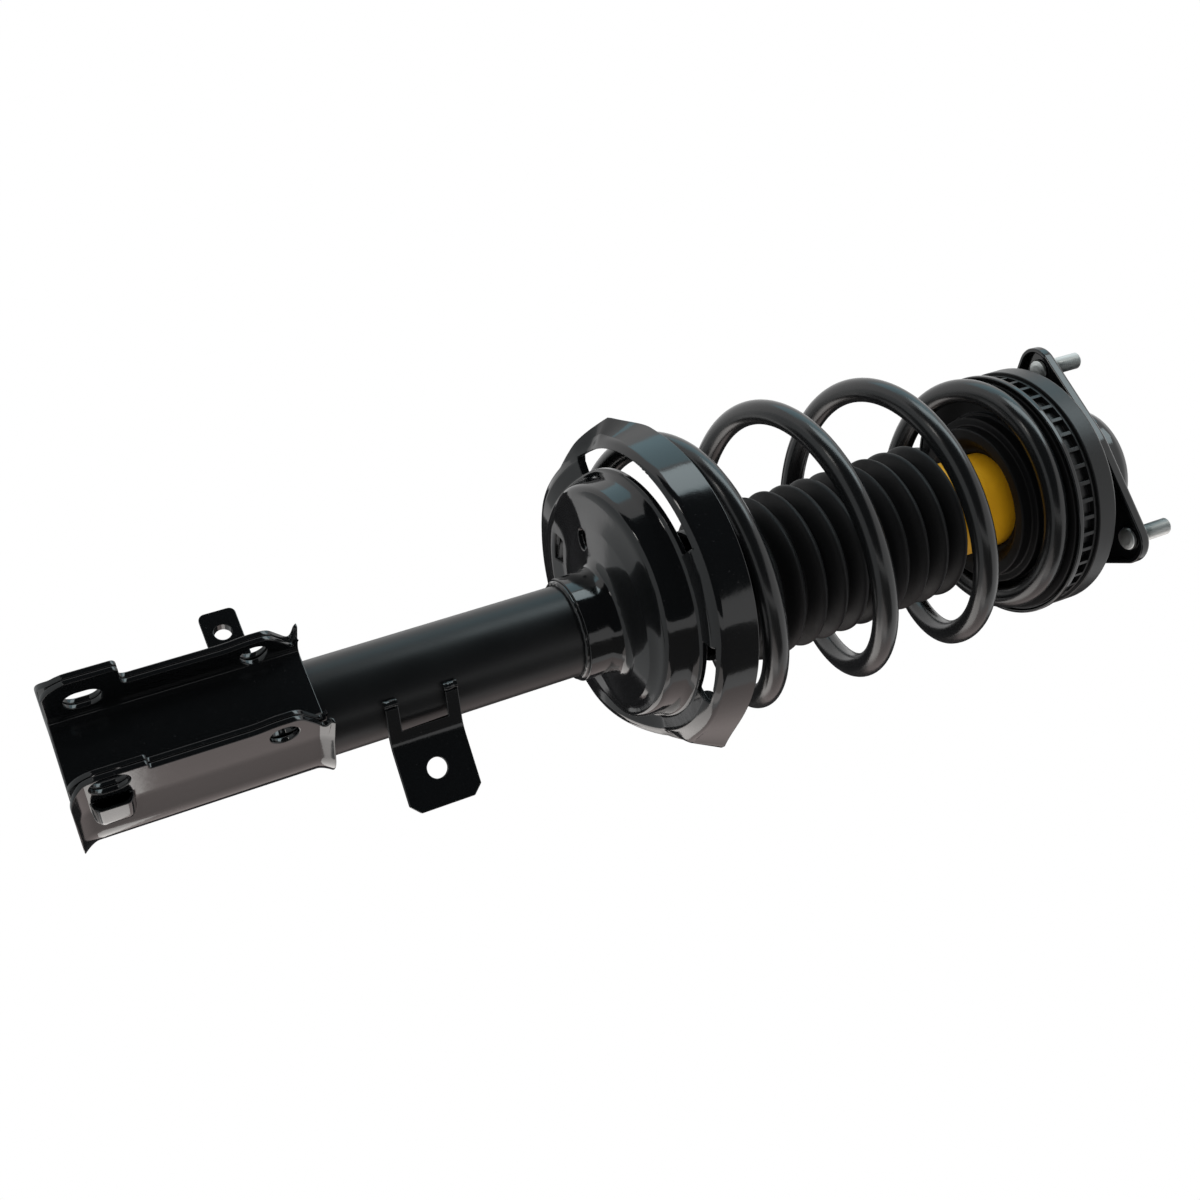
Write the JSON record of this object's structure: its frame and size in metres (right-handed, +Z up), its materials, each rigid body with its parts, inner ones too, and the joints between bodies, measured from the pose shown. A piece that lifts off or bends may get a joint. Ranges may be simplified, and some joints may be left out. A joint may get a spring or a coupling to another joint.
{
  "type": "suspension strut",
  "caption": "Telescopic front strut with a side-load coil spring, ribbed boot, bearing top mount and a slotted knuckle clevis.",
  "frame": {"origin": "centre of the mount plate's top face, on the strut axis, where the strut meets the body", "axes": "+Z up along the strut axis, +X along the clevis bolts, +Y out of the clevis's open side, towards the wheel"},
  "size_m": [0.1747, 0.1715, 0.633],
  "materials": {
    "black_paint": "glossy black paint",
    "black_plastic": "satin",
    "rubber": "matt",
    "yellow_foam": "matt polyurethane foam",
    "zinc": "zinc plated",
    "chrome": "polished",
    "plain_steel": "machined"
  },
  "bodies": {
    "mount": {"mount_plate": "black_paint", "mount_stud_1": "zinc", "mount_stud_2": "zinc", "mount_stud_3": "zinc", "mount_bush": "rubber", "mount_sleeve": "plain_steel", "mount_dome": "black_paint", "rebound_washer": "zinc", "rod_nut": "zinc", "piston_rod": "chrome", "piston": "plain_steel", "piston_nut": "plain_steel", "rebound_stop": "rubber", "bearing_upper_housing": "black_plastic"},
    "bearing_set": {"bearing_cage": "black_plastic", "bearing_ball_01": "chrome", "bearing_ball_02": "chrome", "bearing_ball_03": "chrome", "bearing_ball_04": "chrome", "bearing_ball_05": "chrome", "bearing_ball_06": "chrome", "bearing_ball_07": "chrome", "bearing_ball_08": "chrome", "bearing_ball_09": "chrome", "bearing_ball_10": "chrome", "bearing_ball_11": "chrome", "bearing_ball_12": "chrome"},
    "upper_seat": {"bearing_lower_housing": "black_plastic", "upper_spring_seat": "black_paint", "upper_insulator": "rubber", "bump_stop": "yellow_foam", "dust_boot": "rubber", "coil_spring": "black_paint"},
    "damper_body": {"strut_tube": "black_paint", "tube_end_cap": "black_paint", "inner_cylinder": "plain_steel", "base_valve": "plain_steel", "rod_guide": "plain_steel", "oil_seal": "rubber", "gland_cap": "black_paint", "lower_spring_seat": "black_paint", "lower_insulator": "rubber", "clevis_outer": "black_paint", "clevis_inner": "black_paint", "hose_bracket": "black_paint", "sensor_tab": "black_paint"}
  },
  "joints": [
    {"name": "steer", "type": "hinge", "parent": "mount", "child": "upper_seat", "pos_m": [0, 0, -0.034], "axis": [0, 0, 1], "continuous": true},
    {"name": "bearing_roll", "type": "hinge", "parent": "mount", "child": "bearing_set", "pos_m": [0, 0, -0.0302], "axis": [0, 0, 1], "continuous": true},
    {"name": "travel", "type": "slide", "parent": "upper_seat", "child": "damper_body", "axis": [0, 0, 1], "range_m": [0, 0.089], "stiffness_N_per_m": 20000, "springref_m": -0.005, "deforming": ["coil_spring", "dust_boot"]}
  ],
  "couplings": [
    {"joint": "bearing_roll", "follows": "steer", "ratio": 0.5}
  ]
}
